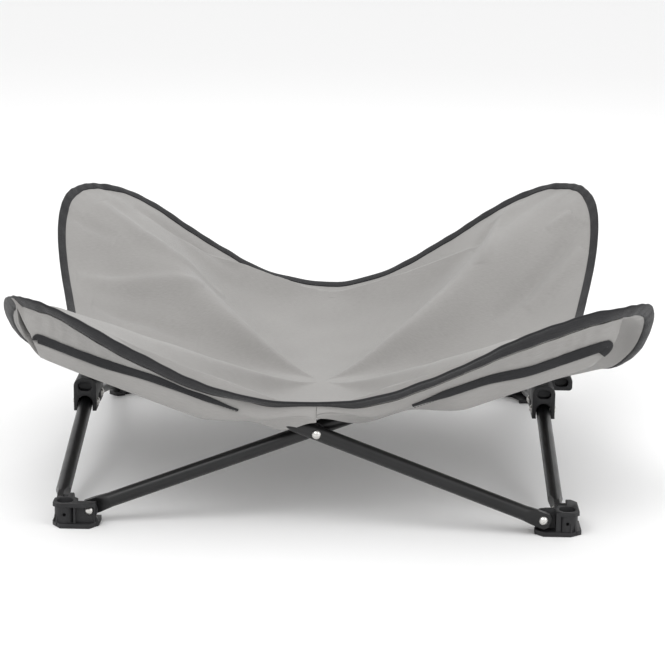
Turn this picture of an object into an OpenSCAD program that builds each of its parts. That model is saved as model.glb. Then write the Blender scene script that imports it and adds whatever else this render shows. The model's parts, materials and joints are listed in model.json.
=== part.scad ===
// Folding raised pet cot: a cloth sling with four upturned corners on a tube frame.
// The frame has a crossed pair of tubes at the front and at the rear, a pair of
// hinged links on each side, and four moulded feet. Millimetres, +Z up, front at -Y.
// The origin is on the floor, midway between the feet.

/* [Frame] */
// Distance between the centres of neighbouring foot sockets
foot_pitch = 530; // [460:5:620]
// Outside diameter of every frame tube
tube_d = 16; // [13:0.5:19]
// Wall of a crossed tube
tube_wall = 0.9; // [0.8:0.1:2]
// Angle of the crossed tubes above the floor when the cot is open
cross_angle = 20.9; // [18:0.1:25]
// Length of a crossed tube above its centre rivet
cross_upper = 310; // [280:1:330]
// Width of the flattened tube ends
pinch_w = 17; // [15:0.5:20]
// Thickness of the flattened tube ends
pinch_t = 6; // [4:0.5:8]
// Length over which a tube end turns from flat to round
pinch_l = 22; // [18:1:30]
// Spacer between two crossed tubes
spacer_t = 1.5; // [1:0.1:3]

/* [Side links] */
// Height of the link rivets in the side hub
hub_rivet_z = 65.5; // [58:0.5:74]
// Distance of each link rivet from the middle of the hub
hub_rivet_y = 19.5; // [17:0.1:23]
// Wall of a side link
link_wall = 1.5; // [0.8:0.1:2]

/* [Rivets] */
// Diameter of a rivet's shank
rivet_d = 6; // [4:0.5:7]
// Diameter of a rivet's head
rivet_head_d = 9.5; // [8:0.5:12]
// Height of a rivet's head
rivet_head_h = 2.8; // [1.5:0.1:4]

/* [Foot] */
// Height of the socket in a foot
foot_h = 26.5; // [24:0.5:34]
// Inside diameter of the socket
socket_d = 17.5; // [14:0.5:19]
// Wall of the socket
socket_wall = 2.75; // [2:0.25:4]
// Thickness of the sole
sole_t = 5; // [3:0.5:7]
// Distance from the socket to each tube rivet
rivet_reach = 25.5; // [23:0.5:32]
// Height of the tube rivets above the floor
rivet_z = 17; // [15:0.5:20]
// Thickness of the wall that carries a crossed tube
cheek_t = 5.5; // [4:0.5:6]
// Thickness of the ear that carries a side link
ear_t = 4.5; // [3:0.5:6]

/* [Hub] */
// Thickness of the cheeks beside a link
hub_cheek = 4.5; // [3:0.5:7]
// Side play of a link between the cheeks
hub_play = 1; // [0.6:0.1:2]
// Height of the hub above its rivets
hub_top = 30; // [27:0.5:38]
// Depth of the hub below its rivets
hub_drop = 8.5; // [7:0.5:11]
// Radius of the hub's rounded shoulders
hub_round = 9; // [6:0.5:11]

/* [Sling] */
// Thickness of the cloth
cloth_t = 1.6; // [1:0.1:3]
// Height of the underside of the cloth at the middle of the cot
centre_z = 88; // [75:1:100]
// Height of the underside of the cloth at the middle of each side edge
side_z = 140; // [130:1:155]
// Height of the underside of the cloth at the middle of the front and rear edges
front_z = 133; // [128:1:145]
// Height of the underside of the cloth at each corner
tip_z = 258; // [245:1:275]
// How far the middle of a side edge lies outside the line of the feet
side_over = 33; // [25:1:45]
// How far the middle of the front edge lies outside the line of the feet
front_over = 20; // [15:1:40]
// How far the side edges swing out toward the corners
bulge_x = 72; // [50:1:85]
// How far the front and rear edges swing out toward the corners
bulge_y = 66; // [45:1:80]
// Width of the binding tape along the edge
bind_w = 10; // [6:0.5:14]
// Thickness of the binding tape along the edge
bind_t = 3.6; // [2.4:0.1:5]
// Length of each tube pocket measured along the width
pocket_l = 180; // [150:5:215]
// Thickness of the pocket cloth
pocket_t = 1.2; // [0.8:0.1:2]

/* [Hidden] */
// Running clearance of a rivet in its hole, on the radius
run_gap = 0.05;
// Clearance between pieces that move past each other
move_gap = 0.3;
// Gap between the four quarters of the sling
seam_gap = 0.4;
// Clearance in the one pivot that the folding tree leaves open
open_gap = 0.3;

foot_a = foot_pitch / 2;
tube_r = tube_d / 2;
layer = tube_d + spacer_t;
rivet_x = foot_a - rivet_reach;
cross_lower = rivet_x / cos(cross_angle);
pivot_z = rivet_z + rivet_x * tan(cross_angle);
link_run = rivet_x - hub_rivet_y;
link_rise = hub_rivet_z - rivet_z;
link_angle = atan2(link_rise, link_run);
link_l = norm([link_run, link_rise]);
cap_head = 4;
cap_stub = 12;
tab_back = 7.5;
tab_cut = 3.5;
hole_r = rivet_d / 2 + run_gap;
tube_end_x = (cross_upper + cap_head) * cos(cross_angle);
smooth_fn = 32;

// Shape of the cloth: slack along the middle lines, taut from the centre to each corner,
// hollow at the centre, and lifted where it lies over a tube
slack = 2.4;
taut = 0.95;
hollow = 0.08;
rise_power = 1.25;
bridge = 20;
ridge_slope = 0.9;
ridge_gap = 3.2;
ridge_soft = 6;
ridge_rise = (tube_r + ridge_gap) * norm([1, ridge_slope]);
layer_blend = 60;
side_x = foot_a + side_over;
front_y = foot_a + front_over;
corner_x = (side_x + bulge_x) * sqrt(cos(45));
corner_y = (front_y + bulge_y) * sqrt(sin(45));
cells = 16;

corners = ["fl", "fr", "rl", "rr"];

cloth_colour = [0.72, 0.71, 0.69];
tape_colour = [0.22, 0.22, 0.23];
tube_colour = [0.10, 0.10, 0.11];
plastic_colour = [0.25, 0.25, 0.27];
steel_colour = [0.80, 0.80, 0.78];

// Side is -1 at the left, end is -1 at the front; twin is 1 where the tubes that a corner
// holds up lie in the outer layer of the frame and -1 where they lie in the inner layer
function side_of(c) = c == "fl" || c == "rl" ? -1 : 1;
function end_of(c) = c == "fl" || c == "fr" ? -1 : 1;
function twin_of(c) = -side_of(c);
function layer_at(c) = foot_a + layer / 2 * twin_of(c);
function ease(t) = let (s = max(0, min(1, t))) s * s * (3 - 2 * s);

module along_y() {
    rotate([90, 0, 0]) children();
}

module along_x() {
    rotate([0, 90, 0]) children();
}

// Rivets

module rivet_head() {
    ball = (pow(rivet_head_d / 2, 2) + pow(rivet_head_h, 2)) / (2 * rivet_head_h);
    intersection() {
        translate([0, 0, rivet_head_h - ball]) sphere(r = ball, $fn = 64);
        cylinder(d = rivet_head_d, h = rivet_head_h, $fn = 48);
    }
}

// A rivet along +Z from z0 to z1 with a domed head past each end
module rivet(z0, z1) {
    translate([0, 0, z0]) cylinder(d = rivet_d, h = z1 - z0, $fn = 48);
    translate([0, 0, z1]) rivet_head();
    translate([0, 0, z0]) mirror([0, 0, 1]) rivet_head();
}

// Tubes

// The flattened end of a tube, with its rivet at the origin and the tube along +X:
// a flat tab cut square with its corners taken off, then a throat that opens to the full tube
module pinched_end() {
    tab_l = rivet_head_d / 2 + 4.5;
    half = pinch_w / 2;
    translate([0, pinch_t / 2, 0]) along_y() linear_extrude(pinch_t) polygon([
        [-tab_back, half - tab_cut], [tab_cut - tab_back, half], [tab_l, half],
        [tab_l, -half], [tab_cut - tab_back, -half], [-tab_back, tab_cut - half]
    ]);
    hull() {
        translate([tab_l - 1, -pinch_t / 2, -pinch_w / 2]) cube([1, pinch_t, pinch_w]);
        translate([pinch_l, 0, 0]) along_x() cylinder(d = tube_d, h = 1, $fn = smooth_fn);
    }
}

// A crossed tube along +X from its foot rivet, hollow above the flattened end
module cross_tube_bar() {
    full = cross_lower + cross_upper;
    color(tube_colour) difference() {
        union() {
            pinched_end();
            translate([pinch_l, 0, 0]) along_x() cylinder(d = tube_d, h = full - pinch_l, $fn = 64);
        }
        translate([pinch_l + tube_wall, 0, 0]) along_x()
            cylinder(d = tube_d - 2 * tube_wall, h = full, $fn = 64);
        for (s = [0, cross_lower])
            translate([s, 0, 0]) along_y() cylinder(r = hole_r, h = 2 * tube_d, center = true, $fn = 48);
    }
}

// Plastic plug with a domed head in the upper end of a crossed tube
module cap_bar() {
    full = cross_lower + cross_upper;
    dome = (pow(tube_r, 2) + pow(cap_head, 2)) / (2 * cap_head);
    color(plastic_colour) translate([full, 0, 0]) along_x() {
        translate([0, 0, -cap_stub])
            cylinder(r = tube_r - tube_wall - run_gap, h = cap_stub, $fn = 48);
        intersection() {
            translate([0, 0, cap_head - dome]) sphere(r = dome, $fn = 64);
            cylinder(r = tube_r, h = cap_head, $fn = 48);
        }
    }
}

// Places a crossed tube: right is 1 when it rises to the right and -1 when to the left
module place_cross(right, y) {
    translate([-right * rivet_x, y, rivet_z])
        mirror([right < 0 ? 1 : 0, 0, 0]) rotate([0, -cross_angle, 0]) children();
}

// The tube whose upper end sits in the pocket at corner c
module cross_tube(c) {
    place_cross(side_of(c), end_of(c) * layer_at(c)) cross_tube_bar();
}

module tube_cap(c) {
    place_cross(side_of(c), end_of(c) * layer_at(c)) cap_bar();
}

module cross_rivet(rear) {
    reach = layer / 2 + tube_r + run_gap;
    color(steel_colour) translate([0, rear * foot_a, pivot_z]) along_y() rivet(-reach, reach);
}

module cross_spacer(rear) {
    spacer_d = rivet_head_d + 7;
    color(plastic_colour) translate([0, rear * foot_a, pivot_z]) along_y() difference() {
        cylinder(d = spacer_d, h = spacer_t - 2 * run_gap, center = true, $fn = 48);
        cylinder(r = hole_r, h = 2 * spacer_t, center = true, $fn = 48);
    }
}

// A side link along +X from its foot rivet to a rounded end at the hub rivet
module link_bar(foot_hole_r) {
    color(tube_colour) difference() {
        union() {
            pinched_end();
            translate([pinch_l, 0, 0]) along_x() cylinder(d = tube_d, h = link_l - pinch_l, $fn = 64);
            translate([link_l, 0, 0]) sphere(d = tube_d, $fn = 64);
        }
        translate([pinch_l + link_wall, 0, 0]) along_x()
            cylinder(d = tube_d - 2 * link_wall, h = link_l - pinch_l - tube_d, $fn = 64);
        along_y() cylinder(r = foot_hole_r, h = 2 * tube_d, center = true, $fn = 48);
        translate([link_l, 0, 0]) along_y() cylinder(r = hole_r, h = 2 * tube_d, center = true, $fn = 48);
    }
}

module side_link(c) {
    loose = c == "rr" ? open_gap : run_gap;
    translate([side_of(c) * layer_at(c), end_of(c) * rivet_x, rivet_z])
        rotate([0, 0, -90 * end_of(c)]) rotate([0, -link_angle, 0]) link_bar(rivet_d / 2 + loose);
}

// Feet, drawn at the front left corner with the socket at the origin

sole_back = 13.5;
sole_out = 15.5;
cheek_run = 10.5;
ear_run = 8.5;
arm_cross = rivet_reach + cheek_run;
arm_link = rivet_reach + ear_run;
slab_t = foot_h - rivet_z - rivet_head_d / 2 - move_gap;
collar = 12.6;
rib_t = 2.4;
boss_d = rivet_head_d + 5.5;
cheek_y = -1;
ear_x = 1;

module sole() {
    long = 12;
    short = 9;
    linear_extrude(sole_t) polygon([
        [short - sole_back, -sole_out], [arm_cross - short, -sole_out], [arm_cross, long - sole_out],
        [arm_cross, layer], [rivet_reach - 4, layer], [ear_x + ear_t + 2, rivet_reach],
        [ear_x + ear_t + 2, arm_link - 4], [ear_x + 2, arm_link],
        [short - sole_back, arm_link], [-sole_back, arm_link - short], [-sole_back, long - sole_out]
    ]);
}

// Top plate: an eight-sided collar round the socket and a shelf over the cheek
module slab() {
    cut = 5;
    edge = collar - cut;
    translate([0, 0, foot_h - slab_t]) linear_extrude(slab_t) polygon([
        [-edge, -collar], [arm_cross - 11, -collar], [arm_cross - 3, cheek_y - cheek_t],
        [arm_cross - 3, cheek_y], [collar, cheek_y], [collar, edge], [edge, collar],
        [-edge, collar], [-collar, edge], [-collar, -edge]
    ]);
}

// Wall outline seen square on: the rivet eye, its arch and the shoulder toward the socket
module arm_outline(tip) {
    eye = boss_d / 2 + 1.5;
    translate([rivet_reach, rivet_z]) circle(r = eye, $fn = 48);
    polygon([
        [0, 0], [tip, 0], [tip, sole_t + 2], [rivet_reach + eye * 0.8, rivet_z - eye * 0.6],
        [rivet_reach + eye * 0.5, rivet_z + eye * 0.85], [rivet_reach - eye * 0.3, foot_h], [0, foot_h]
    ]);
}

module foot_arm_cross() {
    seat = layer / 2 - pinch_t / 2 - move_gap;
    rib_y = cheek_y - cheek_t;
    translate([0, cheek_y, 0]) along_y() linear_extrude(cheek_t) arm_outline(arm_cross - 1);
    translate([rivet_reach, seat, rivet_z]) along_y()
        cylinder(d = boss_d, h = seat - cheek_y + 1, $fn = 48);
    // Ribs between the sole and the shelf, one at each end of the cheek's hollow
    translate([socket_d / 2 + 0.8, rib_y - 5, 0]) cube([rib_t, 6, foot_h - 1]);
    translate([arm_cross - 3 - rib_t, rib_y - 1.5, 0]) cube([rib_t, 2.5, foot_h - 1]);
}

module foot_arm_link() {
    seat = pinch_t / 2 + move_gap - layer / 2;
    translate([ear_x + ear_t, 0, 0]) rotate([90, 0, 90]) mirror([0, 0, 1]) linear_extrude(ear_t)
        arm_outline(arm_link - 1);
    translate([seat, rivet_reach, rivet_z]) along_x()
        cylinder(d = boss_d, h = ear_x - seat + 1, $fn = 48);
    // Pier in front of the ear, from the sole to the collar
    translate([-collar + 1, collar - 5.5, 0]) cube([collar, 5, foot_h - 1]);
}

// Gussets that stiffen the socket on its two outer faces
module foot_gussets() {
    socket_r = socket_d / 2 + socket_wall;
    for (a = [200, 225]) rotate([0, 0, a])
        translate([socket_r - 1, rib_t / 2, sole_t - 0.5]) along_y() linear_extrude(rib_t)
            polygon([[0, 0], [min(4, sole_back - socket_r + 0.8), 0], [0, foot_h * 0.5]]);
}

module foot_body() {
    screw_d = 3.5;
    difference() {
        union() {
            sole();
            slab();
            cylinder(d = socket_d + 2 * socket_wall, h = foot_h, $fn = 64);
            foot_arm_cross();
            foot_arm_link();
            foot_gussets();
        }
        translate([0, 0, sole_t]) cylinder(d = socket_d, h = foot_h, $fn = 64);
        for (a = [0, -90]) rotate([0, 0, a]) translate([0, 0, foot_h * 0.52]) along_y()
            cylinder(d = screw_d, h = socket_d, $fn = 32);
        translate([rivet_reach, 0, rivet_z]) along_y()
            cylinder(r = hole_r, h = 4 * layer, center = true, $fn = 48);
        translate([0, rivet_reach, rivet_z]) along_x()
            cylinder(r = hole_r, h = 4 * layer, center = true, $fn = 48);
    }
}

module foot_rivet_pair() {
    far = layer / 2 + pinch_t / 2 + run_gap;
    translate([rivet_reach, 0, rivet_z]) along_y() rivet(-far, cheek_t - cheek_y);
    translate([0, rivet_reach, rivet_z]) along_x() rivet(-far, ear_x + ear_t);
}

module at_foot(c) {
    translate([side_of(c) * foot_a, end_of(c) * foot_a, 0]) mirror([0, end_of(c) > 0 ? 1 : 0, 0])
        rotate([0, 0, side_of(c) > 0 ? 90 : 0]) children();
}

module foot(c) {
    color(plastic_colour) at_foot(c) foot_body();
}

module foot_rivets(c) {
    color(steel_colour) at_foot(c) foot_rivet_pair();
}

// Side hubs, drawn with the links in the plane x = 0 and the rivets at z = 0

slot_w = tube_d + hub_play;
lobe_w = slot_w + 2 * hub_cheek;
lobe_run = 13.4;
lobe_front = hub_rivet_y + lobe_run;
web_half = 8.5;
web_z = 5;
window_w = 16;
window_h = 10.4;
window_z = hub_top - 9.5;
window_deep = 9;
wing_x = 23.5;
wing_y = 12;
wing_up = 2.5;
wing_drop = 9.7;
wing_round = 4;

// Front face of the hub: two ears, and a body with rounded shoulders
module hub_face() {
    body_h = hub_top + hub_drop;
    translate([-lobe_w / 2, -hub_drop]) {
        square([lobe_w, body_h - hub_round]);
        translate([hub_round, 0]) square([lobe_w - 2 * hub_round, body_h]);
        for (x = [hub_round, lobe_w - hub_round])
            translate([x, body_h - hub_round]) circle(r = hub_round, $fn = 64);
    }
}

// Front face of the wing beside the rear half of the hub
module wing_face() {
    right = wing_x + lobe_w / 2;
    low = window_z + wing_up - wing_drop;
    high = hub_top + wing_up;
    translate([0, low]) square([right - wing_round, high - hub_round - low]);
    translate([right - hub_round, low + wing_round])
        square([hub_round, high - hub_round - low - wing_round]);
    translate([right - wing_round, low + wing_round]) circle(r = wing_round, $fn = 48);
    translate([0, high - hub_round - 1]) square([right - hub_round, hub_round + 1]);
    translate([right - hub_round, high - hub_round]) circle(r = hub_round, $fn = 64);
}

module window_face() {
    half = (window_w - window_h) / 2;
    square([2 * half, window_h], center = true);
    for (s = [-1, 1]) translate([s * half, 0]) circle(d = window_h, $fn = 48);
}

module arch_face() {
    translate([-slot_w / 2, -hub_drop - 1]) square([slot_w, hub_drop + 2]);
    translate([0, 1]) circle(d = slot_w, $fn = 64);
}

module hub_body() {
    difference() {
        union() {
            translate([0, lobe_front, 0]) along_y() linear_extrude(2 * lobe_front) hub_face();
            translate([0, lobe_front, 0]) along_y() linear_extrude(lobe_front - wing_y) wing_face();
        }
        for (a = [0, 180]) rotate([0, 0, a]) {
            translate([0, -web_half, 0]) along_y() linear_extrude(lobe_front) arch_face();
            translate([0, window_deep - lobe_front, window_z]) along_y()
                linear_extrude(lobe_front) window_face();
            translate([0, -hub_rivet_y, 0]) along_x()
                cylinder(r = hole_r, h = 2 * lobe_w, center = true, $fn = 48);
        }
        translate([-lobe_w, -web_half, -hub_drop - 1])
            cube([2 * lobe_w, 2 * web_half, hub_drop + 1 + web_z]);
        translate([wing_x, wing_y + window_deep, window_z + wing_up]) along_y()
            linear_extrude(lobe_front) window_face();
    }
}

module at_hub(side) {
    translate([side * foot_a - layer / 2, 0, hub_rivet_z]) children();
}

module side_hub(side) {
    color(plastic_colour) at_hub(side) hub_body();
}

module hub_rivets(side) {
    half = lobe_w / 2 + run_gap;
    color(steel_colour) at_hub(side) for (y = [-hub_rivet_y, hub_rivet_y])
        translate([0, y, 0]) along_x() rivet(-half, half);
}

// Sling. Heights and outlines are worked out for one quarter with x and y positive.

function tube_z(x) = pivot_z + x * tan(cross_angle);
function ridge_y(x, twin) = foot_a + layer / 2 * twin * x / norm([x, layer_blend]);
function ridge_z(x) = pivot_z + ridge_rise + tan(cross_angle) * norm([x, bridge]);

// Outer edge of the cloth in plan, a from 0 at the side through 45 at the corner to 90
function edge_of(a) = [
    (side_x + bulge_x * sin(2 * a)) * sqrt(max(0, cos(a))),
    (front_y + bulge_y * sin(2 * a)) * sqrt(max(0, sin(a)))
];
function edge_at(s) = edge_of(90 * (0.35 * s + 0.65 * s * s / (s * s + (1 - s) * (1 - s))));

// Height of the edge: it climbs from the middle of each side to the corner
function climb(low, t) = low + (tip_z - low) * ease(pow(t, rise_power));
function edge_z(a, e) = a < 45 ? climb(side_z, e[1] / corner_y) : climb(front_z, e[0] / corner_x);

// Height of the cloth hung from its edge, which rises along each line from the centre
// as a power of the distance, straight toward a corner and slack toward the middle of a side
function hung_z(x, y) =
    let (
        a = atan2(pow(y / corner_y, 2), pow(x / corner_x, 2)),
        e = edge_of(a),
        f = norm([x, y]) / norm(e),
        g = (norm([f, hollow]) - hollow) / (norm([1, hollow]) - hollow),
        k = slack + (taut - slack) * pow(sin(2 * a), 2)
    )
    centre_z + (edge_z(a, e) - centre_z) * pow(g, k);

// Height of a tent over the tube
function tent_z(x, y, twin) = ridge_z(x) - ridge_slope * abs(y - ridge_y(x, twin));

// Height of the underside of the cloth: the higher of the two, with a soft turn between them
function cloth_z(x, y, twin) =
    let (h = hung_z(x, y), t = tent_z(x, y, twin))
    (h + t + norm([h - t, ridge_soft])) / 2;

// A point at share f of the way to the edge, less a margin, lifted by up
function cloth_point(s, f, margin, up, twin) =
    let (e = edge_at(s), q = e * f * (1 - margin / norm(e)) + [seam_gap, seam_gap] / 2)
    [q[0], q[1], cloth_z(q[0], q[1], twin) + up];

// Faces of a closed skin over two grids of rows by cols points, upper grid first
function skin_faces(rows, cols) =
    let (n = rows * cols)
    [
        for (i = [0 : rows - 2], j = [0 : cols - 2])
            let (a = i * cols + j, b = a + 1, c = a + cols, d = c + 1)
            each [[a, c, b], [b, c, d], [n + a, n + b, n + c], [n + b, n + d, n + c]],
        for (j = [0 : cols - 2])
            let (a = j, c = (rows - 1) * cols + j)
            each [[a, a + 1, n + a], [a + 1, n + a + 1, n + a], [c, n + c, c + 1], [c + 1, n + c, n + c + 1]],
        for (i = [0 : rows - 2])
            let (a = i * cols, c = a + cols - 1)
            each [
                [a, n + a, a + cols], [a + cols, n + a, n + a + cols],
                [c, c + cols, n + c], [c + cols, n + c + cols, n + c]
            ]
    ];

function reversed(f) = [for (i = [len(f) - 1 : -1 : 0]) f[i]];

// Skin between two grids, mirrored into the quarter of corner c
module quarter_skin(c, upper, lower) {
    sx = side_of(c);
    sy = end_of(c);
    rows = len(upper);
    cols = len(upper[0]);
    points = [for (g = [upper, lower], row = g, p = row) [sx * p[0], sy * p[1], p[2]]];
    faces = skin_faces(rows, cols);
    polyhedron(points, sx * sy > 0 ? [for (f = faces) reversed(f)] : faces, convexity = 6);
}

// Square cells laid over a quarter: the far sides of the square follow the edge of the cloth
function cloth_grid(margin, up, twin) = [
    for (i = [0 : cells]) [
        for (j = [0 : cells])
            let (
                far = max(i, j, 1),
                s = j > i ? 1 - i / far / 2 : j / far / 2,
                f = 1 - pow(1 - max(i, j) / cells, 1.3)
            )
            cloth_point(s, f, margin, up, twin)
    ]
];

module sling(c) {
    w = twin_of(c);
    inner = bind_w + run_gap;
    color(cloth_colour) quarter_skin(c, cloth_grid(inner, cloth_t, w), cloth_grid(inner, 0, w));
}

// The tape covers the outer bind_w of the edge and stands proud of the cloth on both faces
module edge_binding(c) {
    w = twin_of(c);
    proud = (bind_t - cloth_t) / 2;
    function tape(up) = [
        for (margin = [bind_w, bind_w / 2, 0])
            [for (j = [0 : 2 * cells]) cloth_point(j / cells / 2, 1, margin, up, w)]
    ];
    color(tape_colour) quarter_skin(c, tape(cloth_t + proud), tape(-proud));
}

// Tube pockets: cloth that hangs from the front of the sling, passes under the tube and
// returns to the sling behind it, drawn in past the end of the tube

pocket_past = 20;
pocket_gap = 0.7;
pocket_x1 = tube_end_x + pocket_past;
pocket_x0 = pocket_x1 - pocket_l;
pocket_bays = 10;
cap_x = tube_end_x + tube_r * sin(cross_angle) + move_gap;
pocket_xs = [
    for (i = [0 : pocket_bays]) pocket_x0 + (cap_x - pocket_x0) * i / pocket_bays,
    (cap_x + pocket_x1) / 2, pocket_x1
];
tape_angles = [-20, -42, -64];
pocket_angles = concat([0], tape_angles, [-90, -120, -150, -180]);
flap_near = 12.5;
flap_run = 75;
flap_in = 23;
flap_grow = 9;
flap_from = 120;
flap_over = 160;
hem_gap = 1.5;
back_gap = 2.2;
back_in = 0.6;

function draw_in(x) = 1 - 0.75 * ease((x - cap_x) / (pocket_x1 - cap_x));

// Distance of the front hem from the middle of the cot: near the tube at the inner end
function flap_y(x, twin) =
    let (
        tube_y = foot_a + layer / 2 * twin,
        far = foot_a + flap_in + flap_grow * ease((x - flap_from) / flap_over) - tube_y,
        reach = flap_near + (far - flap_near) * ease((x - pocket_x0) / flap_run)
    )
    tube_y + reach * (0.4 + 0.6 * draw_in(x));

// Point on the pocket's arc under the tube, at clearance c from the tube
function pocket_arc(x, angle, c, twin) =
    let (
        k = draw_in(x),
        y = foot_a + layer / 2 * twin,
        z = tube_z(x) + (1 - k) * tube_r
    )
    [
        x,
        y + (tube_r + c) * k * cos(angle),
        z + (tube_r / cos(cross_angle) + c) * k * sin(angle)
    ];

// One side of the pocket cloth across a station, from the front hem to the rear seam
function pocket_row(x, c, twin) =
    let (
        front = flap_y(x, twin) + c,
        back = pocket_arc(x, -180, c, twin)[1] - back_in
    )
    [
        [x, front, cloth_z(x, front, twin) - hem_gap],
        for (a = pocket_angles) pocket_arc(x, a, c, twin),
        [x, back, cloth_z(x, back, twin) - back_gap]
    ];

function pocket_grid(c, twin) = [for (x = pocket_xs) pocket_row(x, c, twin)];

module tube_pocket(c) {
    w = twin_of(c);
    color(cloth_colour) quarter_skin(c,
        pocket_grid(pocket_gap, w), pocket_grid(pocket_gap + pocket_t, w));
}

// Tape on the lower front of a pocket
module pocket_binding(c) {
    w = twin_of(c);
    tape_t = 1.4;
    from_tube = pocket_gap + pocket_t + 2 * run_gap;
    function tape(gap) = [for (x = pocket_xs) [for (a = tape_angles) pocket_arc(x, a, gap, w)]];
    color(tape_colour) quarter_skin(c, tape(from_tube), tape(from_tube + tape_t));
}

// Drawing

for (c = corners) {
    foot(c);
    foot_rivets(c);
    tube_cap(c);
    side_link(c);
    sling(c);
    edge_binding(c);
    tube_pocket(c);
    pocket_binding(c);
}
cross_tube("fr");  // front_tube_rising_right
cross_tube("fl");  // front_tube_rising_left
cross_tube("rl");  // rear_tube_rising_left
cross_tube("rr");  // rear_tube_rising_right
cross_rivet(-1);  // front_cross_rivet
cross_rivet(1);  // rear_cross_rivet
cross_spacer(-1);  // front_cross_spacer
cross_spacer(1);  // rear_cross_spacer
side_hub(-1);  // side_hub_left
side_hub(1);  // side_hub_right
hub_rivets(-1);  // hub_rivets_left
hub_rivets(1);  // hub_rivets_right
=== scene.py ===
import json
import math
import bpy
import numpy as np
from mathutils import Matrix, Vector


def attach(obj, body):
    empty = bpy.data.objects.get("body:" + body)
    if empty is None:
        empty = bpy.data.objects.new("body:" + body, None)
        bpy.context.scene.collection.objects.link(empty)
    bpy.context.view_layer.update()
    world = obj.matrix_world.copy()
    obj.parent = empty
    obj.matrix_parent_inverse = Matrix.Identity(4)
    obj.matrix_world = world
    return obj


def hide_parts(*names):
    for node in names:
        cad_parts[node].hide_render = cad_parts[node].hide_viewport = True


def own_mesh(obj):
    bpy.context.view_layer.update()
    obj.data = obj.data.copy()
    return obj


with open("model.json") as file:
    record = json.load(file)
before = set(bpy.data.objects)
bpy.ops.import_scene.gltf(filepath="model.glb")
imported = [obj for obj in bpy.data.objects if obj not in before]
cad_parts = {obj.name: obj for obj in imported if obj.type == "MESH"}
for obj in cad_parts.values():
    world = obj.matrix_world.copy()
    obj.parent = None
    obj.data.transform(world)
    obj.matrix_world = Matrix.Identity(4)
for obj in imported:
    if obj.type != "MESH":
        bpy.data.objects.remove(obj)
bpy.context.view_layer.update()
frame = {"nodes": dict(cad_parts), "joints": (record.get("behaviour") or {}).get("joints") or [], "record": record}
nodes = frame["nodes"]
joints = {j["name"]: j for j in frame["joints"]}

# what the frame gives: where the tubes cross, how steep they are and how far apart their layers lie
crossing = joints["front_cross"]["pos_m"]
ankle = joints["frame_fold"]["pos_m"]
footA = -crossing[1]  # half the distance between front and rear tubes
pivotZ = crossing[2]
halfLayer = footA + ankle[1]
tubeSlope = (pivotZ - ankle[2]) / -ankle[0]

# corners: side is left or right, end is front or rear, body is the tube in the pocket, and the rest says
# how high and how far out the tip stands, how soon the edge climbs to it and how far its outer side droops
corners = {
    "fl": {"side": -1, "end": -1, "body": "front_tube_left",
           "tipZ": 0.254, "tipX": -0.009, "tipY": 0.0, "rise": 1.35, "sideRise": 1.5, "droop": 0.003},
    "fr": {"side": 1, "end": -1, "body": "front_tube_right",
           "tipZ": 0.258, "tipX": 0.016, "tipY": 0.0, "rise": 1.05, "sideRise": 2.0, "droop": 0.004},
    "rl": {"side": -1, "end": 1, "body": "rear_tube_left",
           "tipZ": 0.262, "tipX": 0.0, "tipY": 0.0, "rise": 1.2, "sideRise": 1.25, "droop": 0.0},
    "rr": {"side": 1, "end": 1, "body": "rear_tube_right",
           "tipZ": 0.272, "tipX": 0.0, "tipY": 0.0, "rise": 1.1, "sideRise": 1.25, "droop": 0.0},
}


# node helpers

def addNode(tree, kind, inputs=None, **settings):
    node = tree.nodes.new(kind)
    for key, value in settings.items():
        setattr(node, key, value)
    for key, value in (inputs or {}).items():
        socket = node.inputs[key]
        if isinstance(value, bpy.types.NodeSocket):
            tree.links.new(value, socket)
        else:
            socket.default_value = value
    return node


def newMaterial(name, **sockets):
    mat = bpy.data.materials.new(name)
    mat.use_nodes = True
    shader = mat.node_tree.nodes["Principled BSDF"]
    for key, value in sockets.items():
        shader.inputs[key.replace("_", " ")].default_value = value
    return mat, mat.node_tree, shader


def rampColour(tree, factor, low, high, dark, light):
    ramp = addNode(tree, "ShaderNodeValToRGB", {"Fac": factor})
    ramp.color_ramp.elements[0].position = low
    ramp.color_ramp.elements[0].color = (*dark, 1)
    ramp.color_ramp.elements[1].position = high
    ramp.color_ramp.elements[1].color = (*light, 1)
    return ramp.outputs["Color"]


def noiseOf(tree, vector, scale, detail=3.0, rough=0.55):
    return addNode(tree, "ShaderNodeTexNoise", {
        "Vector": vector, "Scale": scale, "Detail": detail, "Roughness": rough}).outputs["Fac"]


def rangeOf(tree, value, low, high):
    return addNode(tree, "ShaderNodeMapRange", {
        "Value": value, "From Min": 0.3, "From Max": 0.7, "To Min": low, "To Max": high}).outputs["Result"]


def bumpOf(tree, height, strength, distance, normal=None):
    inputs = {"Height": height, "Strength": strength, "Distance": distance}
    if normal is not None:
        inputs["Normal"] = normal
    return addNode(tree, "ShaderNodeBump", inputs).outputs["Normal"]


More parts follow.
